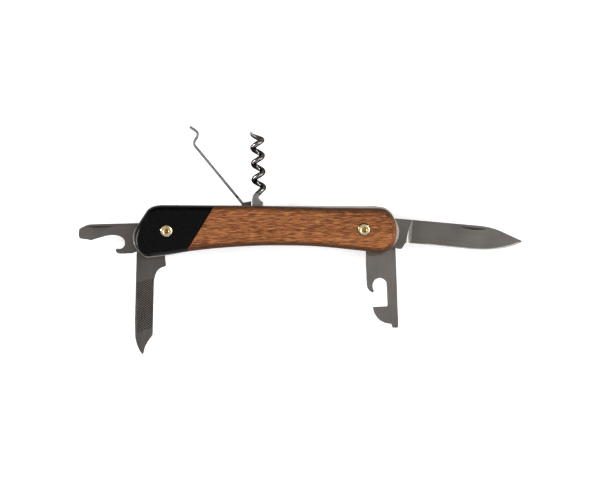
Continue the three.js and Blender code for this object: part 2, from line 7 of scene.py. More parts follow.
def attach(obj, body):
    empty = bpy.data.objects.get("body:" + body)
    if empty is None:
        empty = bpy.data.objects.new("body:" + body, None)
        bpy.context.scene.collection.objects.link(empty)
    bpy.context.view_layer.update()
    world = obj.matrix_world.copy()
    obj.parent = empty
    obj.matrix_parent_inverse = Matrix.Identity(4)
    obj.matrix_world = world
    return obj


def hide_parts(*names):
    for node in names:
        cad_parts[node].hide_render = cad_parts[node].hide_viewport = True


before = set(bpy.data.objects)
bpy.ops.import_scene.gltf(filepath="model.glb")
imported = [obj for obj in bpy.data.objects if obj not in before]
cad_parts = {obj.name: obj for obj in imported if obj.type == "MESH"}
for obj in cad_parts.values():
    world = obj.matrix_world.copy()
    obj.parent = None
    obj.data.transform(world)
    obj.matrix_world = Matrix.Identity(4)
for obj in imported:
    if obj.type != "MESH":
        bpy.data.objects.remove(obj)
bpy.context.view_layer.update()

scene = bpy.context.scene
scene.view_settings.view_transform = "Standard"

# Sizes are in millimetres and angles in degrees, unless a note says otherwise
mm = 0.001
mergeGap = 0.002  # points closer than this are one
hair = 0.01  # a distance that doesn't count

# The knife's own sizes, as the solids have them
knife = {
    "scaleThickness": 4.2,
    "outerLiner": 0.8,
    "middleLiner": 0.6,
    "layer": 2.5,
    "toolThickness": 2.3,
    "rightPivot": (40.5, -0.7),
    "leftPivot": (-40.5, -2.8),
    "corkscrewPivot": (-2.7, 6.9),
    "hookPivot": (-5.95, 6.4),
    "tangRadius": 5.15,
    "pinRadius": 1.25,
    "backPinRadius": 0.9,
    "pinClearance": 0.08,
}
rearLayerMiddle = knife["scaleThickness"] + knife["outerLiner"] + knife["layer"] / 2
frontLayerMiddle = rearLayerMiddle + knife["layer"] + knife["middleLiner"]
frontScaleLow = frontLayerMiddle + knife["layer"] / 2 + knife["outerLiner"]
wholeThickness = frontScaleLow + knife["scaleThickness"]


# Selecting and finishing

def pick(piece):
    bpy.ops.object.select_all(action="DESELECT")
    piece.select_set(True)
    bpy.context.view_layer.objects.active = piece


def editAll(piece):
    pick(piece)
    bpy.ops.object.mode_set(mode="EDIT")
    bpy.ops.mesh.select_all(action="SELECT")


def leaveEdit():
    bpy.ops.object.mode_set(mode="OBJECT")


def selectEdges(piece, wanted):
    editAll(piece)
    bpy.ops.mesh.select_mode(type="EDGE")
    bpy.ops.mesh.select_all(action="DESELECT")
    leaveEdit()
    spots = piece.data.vertices
    for edge in piece.data.edges:
        edge.select = wanted(spots[edge.vertices[0]].co / mm, spots[edge.vertices[1]].co / mm)
    bpy.ops.object.mode_set(mode="EDIT")


def outwards(piece):
    editAll(piece)
    bpy.ops.mesh.remove_doubles(threshold=mergeGap * mm)
    bpy.ops.mesh.normals_make_consistent(inside=False)
    leaveEdit()


def applyModifier(piece, kind, **settings):
    pick(piece)
    modifier = piece.modifiers.new(kind.title(), kind)
    for setting, value in settings.items():
        setattr(modifier, setting, value)
    bpy.ops.object.modifier_apply(modifier=modifier.name)


def softEdges(piece, width, segments, angle):
    applyModifier(
        piece, "BEVEL", width=width * mm, segments=segments, limit_method="ANGLE",
        angle_limit=math.radians(angle), use_clamp_overlap=True,
    )


def cutAway(piece, cutter):
    applyModifier(piece, "BOOLEAN", operation="DIFFERENCE", solver="EXACT", object=cutter)
    bpy.data.objects.remove(cutter)


def smooth(piece, angle):
    pick(piece)
    bpy.ops.object.shade_smooth_by_angle(angle=math.radians(angle))
    # flat faces stay flat beside their soft edges
    applyModifier(piece, "WEIGHTED_NORMAL", keep_sharp=True, weight=90)


def put(piece, pivot, z, turn):  # a tool is made round its pivot, then turned and set in its layer
    piece.rotation_euler.z = math.radians(turn)
    piece.location = (pivot[0] * mm, pivot[1] * mm, z * mm)
    pick(piece)
    bpy.ops.object.transform_apply(location=True, rotation=True, scale=True)


def finish(piece, name, body, node, material=None):  # it moves with its body, in its solid's place
    piece.name = name
    piece.data.name = name
    if material:
        piece.data.materials.clear()
        piece.data.materials.append(material)
    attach(piece, body)
    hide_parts(node)


# Outlines: a step with two numbers is a line's end, with four a curve's control and its end

def bend(points, control, end):
    start = Vector(points[-1])
    control, end = Vector(control), Vector(end)
    count = max(4, round((end - start).length / 0.3))
    for k in range(1, count + 1):
        t = k / count
        points.append(tuple(start * (1 - t) ** 2 + control * 2 * t * (1 - t) + end * t ** 2))


def follow(points, place, steps):
    for step in steps:
        if len(step) == 2:
            points.append((place[0] + step[0], place[1] + step[1]))
        else:
            bend(points, (place[0] + step[0], place[1] + step[1]), (place[0] + step[2], place[1] + step[3]))


def arc(points, middle, radius, fromAngle, toAngle, count=40):
    for k in range(count + 1):
        turn = math.radians(fromAngle + (toAngle - fromAngle) * k / count)
        points.append((middle[0] + radius * math.cos(turn), middle[1] + radius * math.sin(turn)))


def through(marks, perSpan):  # a smooth line that passes through every mark
    marks = [Vector(mark) for mark in marks]
    points = []
    for i in range(len(marks) - 1):
        before, start = marks[max(i - 1, 0)], marks[i]
        end, after = marks[i + 1], marks[min(i + 2, len(marks) - 1)]
        leave, arrive = (end - before) / 2, (after - start) / 2
        for k in range(perSpan):
            t = k / perSpan
            points.append(
                start * (2 * t ** 3 - 3 * t ** 2 + 1) + leave * (t ** 3 - 2 * t ** 2 + t)
                + end * (3 * t ** 2 - 2 * t ** 3) + arrive * (t ** 3 - t ** 2)
            )
    return points + [marks[-1]]


def mirrored(points):
    return [(-x, y) for x, y in reversed(points)]


def eased(points, rounds):  # rubs a closed outline's small corners away
    for _ in range(rounds):
        spots = [Vector(spot) for spot in points]
        points = [
            tuple((spots[i - 1] + 2 * spots[i] + spots[(i + 1) % len(spots)]) / 4) for i in range(len(spots))
        ]
    return points


def evenly(points, gap):  # the same closed outline with its points a steady distance apart
    spread = []
    for i, spot in enumerate(points):
        start, end = Vector(spot), Vector(points[(i + 1) % len(points)])
        count = max(1, round((end - start).length / gap))
        spread += [tuple(start + (end - start) * k / count) for k in range(count)]
    return spread


# Starting forms

def plate(points, lowZ, highZ):
    clean = [
        spot for i, spot in enumerate(points)
        if (Vector(spot) - Vector(points[i - 1])).length > 2 * mergeGap
    ]
    bpy.ops.object.select_all(action="DESELECT")
    bpy.ops.mesh.primitive_circle_add(vertices=len(clean), radius=1, fill_type="NGON", location=(0, 0, 0))
    piece = bpy.context.object
    for vertex, (x, y) in zip(piece.data.vertices, clean):
        vertex.co = (x * mm, y * mm, lowZ * mm)
    editAll(piece)
    bpy.ops.mesh.extrude_region_move(TRANSFORM_OT_translate={"value": (0, 0, (highZ - lowZ) * mm)})
    leaveEdit()
    outwards(piece)
    return piece


def disc(place, radius, lowZ, highZ, sides=64):
    bpy.ops.object.select_all(action="DESELECT")
    bpy.ops.mesh.primitive_cylinder_add(
        vertices=sides, radius=radius * mm, depth=(highZ - lowZ) * mm,
        location=(place[0] * mm, place[1] * mm, (lowZ + highZ) / 2 * mm),
    )
    pick(bpy.context.object)
    bpy.ops.object.transform_apply(location=True, rotation=True, scale=True)
    return bpy.context.object


def turned(profile, place, z, way=1, steps=72):  # a profile from axis to axis, spun round Z
    bpy.ops.object.select_all(action="DESELECT")
    bpy.ops.mesh.primitive_circle_add(
        vertices=len(profile), radius=1, fill_type="NOTHING", location=(0, 0, 0),
    )
    piece = bpy.context.object
    for vertex, (radius, height) in zip(piece.data.vertices, profile):
        vertex.co = ((place[0] + radius) * mm, place[1] * mm, (z + way * height) * mm)
    selectEdges(piece, lambda a, b: abs(a.x - place[0]) < hair and abs(b.x - place[0]) < hair)
    bpy.ops.mesh.delete(type="EDGE")
    bpy.ops.mesh.select_all(action="SELECT")
    bpy.ops.mesh.spin(
        steps=steps, angle=2 * math.pi, center=(place[0] * mm, place[1] * mm, 0), axis=(0, 0, 1),
    )
    leaveEdit()
    outwards(piece)
    return piece


def wire(path, radii, roundness):  # a round wire along a path, thinner where its radii are smaller
    bpy.ops.object.select_all(action="DESELECT")
    bpy.ops.curve.primitive_nurbs_path_add(location=(0, 0, 0))
    piece = bpy.context.object
    shape = piece.data
    shape.splines.clear()
    line = shape.splines.new("POLY")
    line.points.add(len(path) - 1)
    for point, spot, radius in zip(line.points, path, radii):
        point.co = (*(Vector(spot) * mm), 1)
        point.radius = radius
    shape.dimensions = "3D"
    shape.twist_mode = "MINIMUM"
    shape.bevel_depth = mm
    shape.bevel_resolution = roundness
    shape.use_fill_caps = True
    pick(piece)
    bpy.ops.object.convert(target="MESH")
    piece = bpy.context.object
    outwards(piece)
    return piece


# Materials

def srgb(code):
    channels = [int(code[i:i + 2], 16) / 255 for i in (1, 3, 5)]
    return (*[c / 12.92 if c < 0.04045 else ((c + 0.055) / 1.055) ** 2.4 for c in channels], 1)


# A link is named for its socket, or with i and the socket's number
def addNode(tree, kind, settings=None, **links):
    node = tree.nodes.new(kind)
    for name, value in (settings or {}).items():
        if name == "stops":  # a ramp's places and tones
            elements = node.color_ramp.elements
            while len(elements) < len(value):
                elements.new(0.5)
            for element, (place, tone) in zip(elements, value):
                element.position = place
                element.color = srgb(tone) if isinstance(tone, str) else (tone, tone, tone, 1)
        elif isinstance(name, str) and hasattr(node, name):
            setattr(node, name, value)
        else:
            node.inputs[name].default_value = value
    for name, source in links.items():
        socket = node.inputs[int(name[1:])] if name[1:].isdigit() else node.inputs[name.replace("_", " ")]
        tree.links.new(source, socket)
    return node


def startMaterial(name, **settings):
    material = bpy.data.materials.new(name)
    material.use_nodes = True
    tree = material.node_tree
    shader = tree.nodes["Principled BSDF"]
    for setting, value in settings.items():
        shader.inputs[setting.replace("_", " ")].default_value = value
    return material, tree, shader


def cell(length, width):  # a mapping scale that makes a pattern's cell that long and wide
    return (length * mm, width * mm, width * mm)


def makeWood():
    # Beech, stained red-brown, sanded and finished with oil: dull, with short fine flecks along the grain,
    # and with painted shade darkening its long rounded sides. Real pores are a third as wide and would not
    # show.
    look = {
        "light": "#b87948", "middle": "#8a512d", "dark": "#522d19", "pore": "#2e180b",
        "sideShade": "#2d190b",
        "fleck": (3.4, 0.23), "band": (70, 2.2), "openPore": (2.6, 0.2),  # lengths and widths
        "bandShare": 0.24,
    }
    material, tree, shader = startMaterial(
        "oiledBeechRedBrown", Roughness=0.55, IOR=1.5, Specular_IOR_Level=0.16,
    )
    place = addNode(tree, "ShaderNodeTexCoord").outputs
    noises = {}
    layers = [("fleck", 1, 3, 0), ("band", 1.5, 2, 0.2), ("openPore", 1, 1, 0)]
    for name, turn, detail, distortion in layers:
        along = addNode(
            tree, "ShaderNodeMapping",
            {"vector_type": "TEXTURE", "Rotation": (0, 0, math.radians(turn)), "Scale": cell(*look[name])},
            Vector=place["Object"],
        ).outputs["Vector"]
        noises[name] = addNode(
            tree, "ShaderNodeTexNoise",
            {"Scale": 1, "Detail": detail, "Roughness": 0.6, "Distortion": distortion}, Vector=along,
        ).outputs["Fac"]
    together = addNode(
        tree, "ShaderNodeMix", {"data_type": "FLOAT", 0: look["bandShare"]},
        i2=noises["fleck"], i3=noises["band"],
    ).outputs[0]
    grain = addNode(
        tree, "ShaderNodeValToRGB",
        {"stops": [(0.395, look["dark"]), (0.5, look["middle"]), (0.605, look["light"])]}, Fac=together,
    ).outputs["Color"]
    poreMask = addNode(
        tree, "ShaderNodeValToRGB", {"stops": [(0.6, 0.0), (0.68, 0.7)]}, Fac=noises["openPore"],
    ).outputs["Color"]
    withPores = addNode(
        tree, "ShaderNodeMix", {"data_type": "RGBA", 7: srgb(look["pore"])}, i0=poreMask, i6=grain,
    ).outputs[2]
    # painted shade: faces turned towards the long sides are mixed towards a dark brown
    sideways = addNode(tree, "ShaderNodeSeparateXYZ", Vector=place["Normal"]).outputs["Y"]
    sideways = addNode(tree, "ShaderNodeMath", {"operation": "ABSOLUTE"}, i0=sideways).outputs[0]
    sideShadeMask = addNode(
        tree, "ShaderNodeValToRGB",
        {"stops": [(0.1, 0.0), (0.45, 0.65), (0.8, 0.92), (1.0, 0.75)]}, Fac=sideways,
    ).outputs["Color"]
    tone = addNode(
        tree, "ShaderNodeMix", {"data_type": "RGBA", 7: srgb(look["sideShade"])},
        i0=sideShadeMask, i6=withPores,
    ).outputs[2]
    tree.links.new(tone, shader.inputs["Base Color"])
    gloss = addNode(tree, "ShaderNodeValToRGB", {"stops": [(0.3, 0.62), (0.7, 0.46)]}, Fac=noises["fleck"])
    tree.links.new(gloss.outputs["Color"], shader.inputs["Roughness"])
    bump = addNode(tree, "ShaderNodeBump", {"Strength": 0.25, "Distance": 0.05 * mm}, Height=noises["fleck"])
    tree.links.new(bump.outputs["Normal"], shader.inputs["Normal"])
    return material


def makeBolster():
    # ABS, moulded in black and tumbled: nearly black satin with a faint grain and one thin streak of light
    look = {"dark": "#000000", "light": "#09090a", "cloud": 0.9}
    material, tree, shader = startMaterial(
        "satinBlackAbs", Roughness=0.18, IOR=1.5, Specular_IOR_Level=0.13,
    )
    cloud = addNode(
        tree, "ShaderNodeTexNoise", {"Scale": 1 / (look["cloud"] * mm), "Detail": 4, "Roughness": 0.6},
        Vector=addNode(tree, "ShaderNodeTexCoord").outputs["Object"],
    ).outputs["Fac"]
    tone = addNode(
        tree, "ShaderNodeValToRGB", {"stops": [(0.35, look["dark"]), (0.7, look["light"])]}, Fac=cloud,
    )
    tree.links.new(tone.outputs["Color"], shader.inputs["Base Color"])
    gloss = addNode(tree, "ShaderNodeValToRGB", {"stops": [(0.3, 0.14), (0.7, 0.22)]}, Fac=cloud)
    tree.links.new(gloss.outputs["Color"], shader.inputs["Roughness"])
    bump = addNode(tree, "ShaderNodeBump", {"Strength": 0.12, "Distance": 0.03 * mm}, Height=cloud)
    tree.links.new(bump.outputs["Normal"], shader.inputs["Normal"])
    return material


def makeSteel(name, look):
    # Stainless steel, ground or drawn along its length: a slightly uneven warm grey with fine lines, whose
    # softened reflections change little from place to place, with painted shade near its pin, in the file's
    # cuts and along the worm's flanks where a look asks for it
    lineLength, cloudSize = 9, 9
    material, tree, shader = startMaterial(name, Metallic=1.0, Roughness=look["roughness"])
    if "rim" in look:
        shader.inputs["Specular Tint"].default_value = (look["rim"], look["rim"], look["rim"], 1)
    place = addNode(tree, "ShaderNodeTexCoord").outputs["Object"]
    grit = look.get("grit", 0.22)  # the real lines are ten times finer and would not show
    turn = math.radians(look["lines"])
    along = addNode(
        tree, "ShaderNodeMapping",
        {"vector_type": "TEXTURE", "Rotation": (0, 0, turn), "Scale": cell(lineLength, grit)}, Vector=place,
    ).outputs["Vector"]
    lines = addNode(
        tree, "ShaderNodeTexNoise", {"Scale": 1, "Detail": 3, "Roughness": 0.65}, Vector=along,
    ).outputs["Fac"]
    clouds = addNode(
        tree, "ShaderNodeTexNoise", {"Scale": 1 / (cloudSize * mm), "Detail": 2, "Roughness": 0.5},
        Vector=place,
    ).outputs["Fac"]
    mixed = addNode(tree, "ShaderNodeMix", {"data_type": "FLOAT", 0: 0.5}, i2=lines, i3=clouds).outputs[0]
    tone = addNode(
        tree, "ShaderNodeValToRGB", {"stops": [(0.35, look["dark"]), (0.65, look["light"])]}, Fac=mixed,
    ).outputs["Color"]
    if "oiled" in look:  # painted shade, darker round its pin where the handle shades it
        pin, near, far, share = look["oiled"]
        middle = (pin[0] * mm, pin[1] * mm, 8 * mm)  # halfway down the pin
        away = addNode(
            tree, "ShaderNodeVectorMath", {"operation": "DISTANCE", 1: middle}, i0=place,
        ).outputs["Value"]
        pinShade = addNode(
            tree, "ShaderNodeMapRange",
            {"From Min": near * mm, "From Max": far * mm, "To Min": share, "To Max": 0.0}, Value=away,
        ).outputs["Result"]
        tone = addNode(
            tree, "ShaderNodeMix", {"data_type": "RGBA", 7: (0, 0, 0, 1)}, i0=pinShade, i6=tone,
        ).outputs[2]
    if "paintedShadeBy" in look:  # painted shade in the file's cuts and along the worm's flanks
        attribute, low, high, shadeTone = look["paintedShadeBy"]
        height = addNode(tree, "ShaderNodeAttribute", {"attribute_name": attribute}).outputs["Fac"]
        clean = addNode(
            tree, "ShaderNodeValToRGB", {"stops": [(low, 0.0), (high, 1.0)]}, Fac=height,
        ).outputs["Color"]
        tone = addNode(
            tree, "ShaderNodeMix", {"data_type": "RGBA", 6: srgb(shadeTone)}, i0=clean, i7=tone,
        ).outputs[2]
    tree.links.new(tone, shader.inputs["Base Color"])
    gloss = addNode(
        tree, "ShaderNodeValToRGB",
        {"stops": [(0.3, look["roughness"] - 0.06), (0.7, look["roughness"] + 0.06)]}, Fac=lines,
    )
    tree.links.new(gloss.outputs["Color"], shader.inputs["Roughness"])
    bump = addNode(tree, "ShaderNodeBump", {"Strength": 0.12, "Distance": 0.01 * mm}, Height=lines)
    tree.links.new(bump.outputs["Normal"], shader.inputs["Normal"])
    return material


def makeBrass(name, dark, light, roughness):
    # Brass, rolled and polished: bright pale gold with faint handling marks, or dull gold as painted shade
    # in the hollow
    material, tree, shader = startMaterial(name, Metallic=1.0, Roughness=roughness)
    marks = addNode(
        tree, "ShaderNodeTexNoise", {"Scale": 1 / (0.7 * mm), "Detail": 3, "Roughness": 0.6},
        Vector=addNode(tree, "ShaderNodeTexCoord").outputs["Object"],
    ).outputs["Fac"]
    tone = addNode(tree, "ShaderNodeValToRGB", {"stops": [(0.35, dark), (0.65, light)]}, Fac=marks)
    tree.links.new(tone.outputs["Color"], shader.inputs["Base Color"])
    gloss = addNode(
        tree, "ShaderNodeValToRGB", {"stops": [(0.3, roughness - 0.05), (0.7, roughness + 0.05)]}, Fac=marks,
    )
    tree.links.new(gloss.outputs["Color"], shader.inputs["Roughness"])
    return material


# "lines" is the way the lines run in degrees, "grit" how wide they are drawn, and "oiled" the pin, where
# its painted shade starts and ends and how dark it is. "paintedShadeBy" is the attribute that says where
# shade is painted, its range and the colour of that painted shade, and "rim" the share of its shine that is
# left at a glancing angle.
steelLooks = {
    # the blade's ground sides: satin, with painted shade towards the pin
    "satinBladeSteel": {
        "lines": -5, "dark": "#7b7570", "light": "#8b8680", "roughness": 0.34,
        "oiled": (knife["rightPivot"], 6, 44, 0.34),
    },
    # its plunge and its sharpened band: honed smoother, and paler as a painted highlight
    "paleHighlightBladeSteel": {"lines": 85, "dark": "#97938e", "light": "#afaba6", "roughness": 0.26},
    # the can opener: satin, even
    "satinOpenerSteel": {"lines": -87.6, "dark": "#6e6965", "light": "#7d7873", "roughness": 0.38},
    # the cap lifter and the file's plain ends: satin, with painted shade near the pin
    "satinLifterSteel": {
        "lines": 1.4, "dark": "#69635e", "light": "#77716c", "roughness": 0.38,
        "oiled": (knife["leftPivot"], 9, 16, 0.26),
    },
    "satinFileSteel": {
        "lines": 88.5, "dark": "#615b56", "light": "#706a65", "roughness": 0.38,
        "oiled": (knife["leftPivot"], 10, 18, 0.16),
    },
    # the file's cuts: pale points over grooves darkened as painted shade
    "cutFileSteel": {
        "lines": 88.5, "dark": "#6e6762", "light": "#7f7872", "roughness": 0.42,
        "paintedShadeBy": ("cutHeight", 0.1, 0.7, "#312c28"),
    },
    # the corkscrew's tang: matte and pale
    "matteTangSteel": {"lines": 92.3, "dark": "#787573", "light": "#888583", "roughness": 0.42},
    # the hook's rod: drawn, dull all round, with one groove black with oxide, on a matte tang painted darker
    # as shade
    "drawnRodSteel": {"lines": 129.6, "dark": "#7b7774", "light": "#898582", "roughness": 0.5, "rim": 0.35},
    "oxideBlackSteel": {"lines": 129.6, "dark": "#1b1a19", "light": "#262423", "roughness": 0.5},
    "shadedTangSteel": {"lines": 129.6, "dark": "#4c4846", "light": "#5a5653", "roughness": 0.42},
    # the worm: polished, so its lines are only wide soft patches, with painted shade along its flanks
    "polishedWormSteel": {
        "lines": 92.3, "dark": "#7e7b79", "light": "#8e8b89", "roughness": 0.18, "grit": 2, "rim": 0.1,
        "paintedShadeBy": ("rubbed", 0.64, 0.86, "#454240"),
    },
    # the liners, springs and pins: ground edges; the liners are painted almost white as a painted highlight
    "paleHighlightLinerSteel": {"lines": 0, "dark": "#c2bbb4", "light": "#d2cbc4", "roughness": 0.3},
    "groundSpringSteel": {"lines": 0, "dark": "#77736f", "light": "#87837e", "roughness": 0.34},
    "turnedPinSteel": {"lines": 0, "dark": "#8a8884", "light": "#a19f9b", "roughness": 0.3},
}
steels = {name: makeSteel(name, look) for name, look in steelLooks.items()}
wood = makeWood()
blackBolster = makeBolster()
brass = makeBrass("polishedBrass", "#d9bf8a", "#f2e2b6", 0.2)
brassInShade = makeBrass("shadedHollowBrass", "#9a7230", "#bd9448", 0.4)  # the hollow is rougher, and darker as painted shade
print("materials ready")


# Scales: one rounded slab over the whole side, parted along the slanted seam

side = {
    "edgeRound": 2.2,
    "roundSteps": 9,
    "seamPoint": (-22.3, 2.0),
    "seamAngle": 58.5,
    "seamGap": 0.03,
    "seamSoftness": 0.06,
    "rivetPlaces": {"left": (-35.3, -0.3), "right": (34.8, 0.2)},
    "shankRadius": 1.3,
    "shankGap": 0.03,
    "headRadius": 2.2,
    "headGap": 0.12,
    "headDepth": 0.8,
    "pinHeadPocket": (2.25, 0.65),
}


def scaleOutline():
    left, right = knife["leftPivot"], knife["rightPivot"]
    points = [(-1, 8.6)]
    follow(points, left, [
        (4, 11.72), (-0.1, 11.65, -1.65, 9.85), (-4.5, 5.4), (-6.45, 2.8, -6.3, -0.5),
        (-5.8, -4.6, -3, -6.3), (-1.8, -6.8, -0.1, -6.6), (6.5, -6.0, 13.7, -4.7),
    ])
    belly = [points[-1], (-17.6, -6.5), (-6, -5.72), (5, -5.5), (18.3, -5.86), (35.3, -7.5)]
    points += [tuple(spot) for spot in through(belly, 24)[1:]]
    follow(points, right, [
        (-2.5, -7.25, 0.1, -7.3), (3.1, -7.2, 4.7, -4.7), (6, -2.5, 5.8, 0.7),
        (5.7, 4.1, 4.3, 5.9), (2.4, 8.3, -0.1, 8.45), (-19.5, 8.65),
    ])
    return eased(evenly(points, 0.45), 3)


def makeSlab():
    slab = plate(scaleOutline(), frontScaleLow, wholeThickness)
    selectEdges(slab, lambda a, b: min(a.z, b.z) > wholeThickness - hair)
    bpy.ops.mesh.bevel(
        offset=side["edgeRound"] * mm, segments=side["roundSteps"], profile=0.5, affect="EDGES",
        clamp_overlap=False,
    )
    leaveEdit()
    for place in (knife["leftPivot"], knife["rightPivot"]):
        radius, depth = side["pinHeadPocket"]
        cutAway(slab, disc(place, radius, frontScaleLow - 1, frontScaleLow + depth))
    for place in side["rivetPlaces"].values():
        shank, head = side["shankRadius"] + side["shankGap"], side["headRadius"] + side["headGap"]
        cutAway(slab, disc(place, shank, frontScaleLow - 1, wholeThickness + 1))
        cutAway(slab, disc(place, head, wholeThickness - side["headDepth"], wholeThickness + 1))
    outwards(slab)
    return slab


def partAt(slab, way):  # way 1 keeps the wood's side of the seam, -1 the bolster's
    angle = math.radians(side["seamAngle"])
    across = Vector((math.sin(angle), -math.cos(angle), 0))
    point = Vector((*side["seamPoint"], 0)) + across * way * side["seamGap"] / 2
    pick(slab)
    bpy.ops.object.duplicate()
    part = bpy.context.object
    editAll(part)
    bpy.ops.mesh.bisect(
        plane_co=point * mm, plane_no=across, use_fill=True,
        clear_inner=way > 0, clear_outer=way < 0,
    )
    leaveEdit()
    outwards(part)
    softEdges(part, side["seamSoftness"], 2, 50)
    smooth(part, 30)
    return part


def turnedOver(piece):  # the same piece on the rear face
    pick(piece)
    bpy.ops.object.duplicate()
    rear = bpy.context.object
    for vertex in rear.data.vertices:
        vertex.co.z = wholeThickness * mm - vertex.co.z
    outwards(rear)
    smooth(rear, 30)
    return rear


slab = makeSlab()
sideParts = (("wood_scale", 1, "wood", wood), ("bolster", -1, "bolster", blackBolster))
for name, way, slotName, material in sideParts:
    front = partAt(slab, way)
    rear = turnedOver(front)
    finish(front, f"front_{name}_smooth", "handle", f"front_{name}", material)
    finish(rear, f"rear_{name}_smooth", "handle", f"rear_{name}", material)
bpy.data.objects.remove(slab)
print("scales and bolsters made")


# Rivets: hollow brass eyelets with a rolled rim

rivet = {
    "length": 4.95,
    "headHeight": 0.75,
    "shank": side["shankRadius"],
    "head": side["headRadius"],
    "crown": 1.5,
    "cup": 0.8,
    "cupDepth": 1.1,
    "cupRound": 0.15,
    "shadeDepth": 1.3,
    "rimRise": 0.4,
    "lip": 0.2,
    "roundSteps": 8,
}


def rivetProfile():
    top, head, crown, cup = rivet["length"], rivet["head"], rivet["crown"], rivet["cup"]
    points = [(0, 0), (rivet["shank"], 0), (rivet["shank"], top - rivet["headHeight"])]
    points += [(head, top - rivet["headHeight"]), (head, top - rivet["rimRise"])]
    for k in range(1, rivet["roundSteps"] + 1):
        turn = math.pi / 2 * k / rivet["roundSteps"]
        drop = rivet["rimRise"] * (1 - math.sin(turn))
        points.append((crown + (head - crown) * math.cos(turn), top - drop))
    for k in range(1, rivet["roundSteps"] + 1):
        turn = math.pi / 2 * k / rivet["roundSteps"]
        points.append((crown - (crown - cup) * math.sin(turn), top - rivet["lip"] * (1 - math.cos(turn))))
    floor = top - rivet["cupDepth"]
    points += [(cup, floor + rivet["cupRound"]), (cup - rivet["cupRound"], floor), (0, floor)]
    return points


def shadeCup(piece, place):  # painted shade in the hollow, from either face down
    piece.data.materials.append(brassInShade)
    for face in piece.data.polygons:
        away = (face.center.to_2d() / mm - Vector(place)).length
        below = wholeThickness / 2 - abs(face.center.z / mm - wholeThickness / 2)
        if away < rivet["cup"] + 0.03 and below < rivet["shadeDepth"]:
            face.material_index = 1


for where, place in side["rivetPlaces"].items():
    front = turned(rivetProfile(), place, frontScaleLow - knife["outerLiner"])
    rear = turned(rivetProfile(), place, wholeThickness - frontScaleLow + knife["outerLiner"], -1)
    for piece, face in ((front, "front"), (rear, "rear")):
        smooth(piece, 40)
        finish(piece, f"{face}_{where}_eyelet", "handle", f"{face}_{where}_rivet", brass)
        shadeCup(piece, place)
print("rivets made")


# Tools: each is made round its pivot, pointing along X, and then put in its layer

def tangArc():
    points = []
    arc(points, (0, 0), knife["tangRadius"], 90, 270)
    return points


def toolPlate(points, holeRadius):
    half = knife["toolThickness"] / 2
    piece = plate(points, -half, half)
    cutAway(piece, disc((0, 0), holeRadius + knife["pinClearance"], -half - 1, half + 1))
    return piece


def nick(shape, way):  # a cut for the thumbnail, steep along its top and rising to its sagging lower edge
    half = knife["toolThickness"] / 2
    bpy.ops.object.select_all(action="DESELECT")
    bpy.ops.mesh.primitive_grid_add(x_subdivisions=28, y_subdivisions=8, size=2, location=(0, 0, 0))
    cutter = bpy.context.object
    for vertex in cutter.data.vertices:
        along, down = (vertex.co.x + 1) / 2, (1 - vertex.co.y) / 2
        swell = math.sin(math.pi * along) ** 0.7  # from nothing at one end to nothing at the other
        x = shape["start"] + shape["length"] * along
        wall, left = shape["wall"]  # how far down the steep part goes, and the depth that is left there
        deep = 1 - (1 - left) * down / wall if down < wall else left * (1 - down) / (1 - wall)
        y = shape["top"] - shape["sag"] * swell * down
        z = half - shape["depth"] * swell * deep
        if swell * deep < 0.01:  # its rim stays just clear of the face
            z = z + 0.001
        vertex.co = (x * way * mm, y * mm, z * mm)
    editAll(cutter)
    bpy.ops.mesh.extrude_region_move(TRANSFORM_OT_translate={"value": (0, 0, 2 * mm)})
    leaveEdit()
    outwards(cutter)
    return cutter


blade = {
    "length": 50.7, "spine": 5.3, "edge": 3.27, "clipStart": 38, "plungeWall": 8.2, "plungeRound": 2.95,
    "edgeThickness": 1.1, "edgeStart": 10.9, "edgeTop": 0.6, "edgeRunOut": (1.5, 1.2), "turn": -5,
    "sharpened": 0.34, "sharpenedTip": 0.6, "tipStretch": 7, "softness": 0.05,
    "nick": {"start": 27.9, "length": 10.2, "top": 4.42, "sag": 1.0, "depth": 0.5, "wall": (0.5, 0.5)},
}


def drawEdge(piece, outline, slope):  # the sharpened band: its inner line goes back along the ground face
    half = knife["toolThickness"] / 2
    start, end = blade["edgeStart"], blade["length"] - 0.2
    heelRun, tipRun = blade["edgeRunOut"]
    for vertex in piece.data.vertices:
        x, y, z = vertex.co / mm
        near = min(range(len(outline)), key=lambda i: (outline[i][0] - x) ** 2 + (outline[i][1] - y) ** 2)
        onOutline = (Vector(outline[near]) - Vector((x, y))).length < 2 * hair
        onMiddleLine = abs(z) < 5 * hair
        if x < start or y > blade["edgeTop"] or onMiddleLine or not onOutline:
            continue
        along = (Vector(outline[(near + 1) % len(outline)]) - Vector(outline[near - 1])).normalized()
        share = min(1, max(0, (x - blade["clipStart"]) / blade["tipStretch"]))
        width = blade["sharpened"] + (blade["sharpenedTip"] - blade["sharpened"]) * share
        width *= min(1, (x - start) / heelRun, (end - x) / tipRun)  # it runs out at both ends
        x, y = x - along.y * width, y + along.x * width
        z = math.copysign(half - math.tan(slope) * (blade["spine"] - y), z)
        vertex.co = (x * mm, y * mm, z * mm)


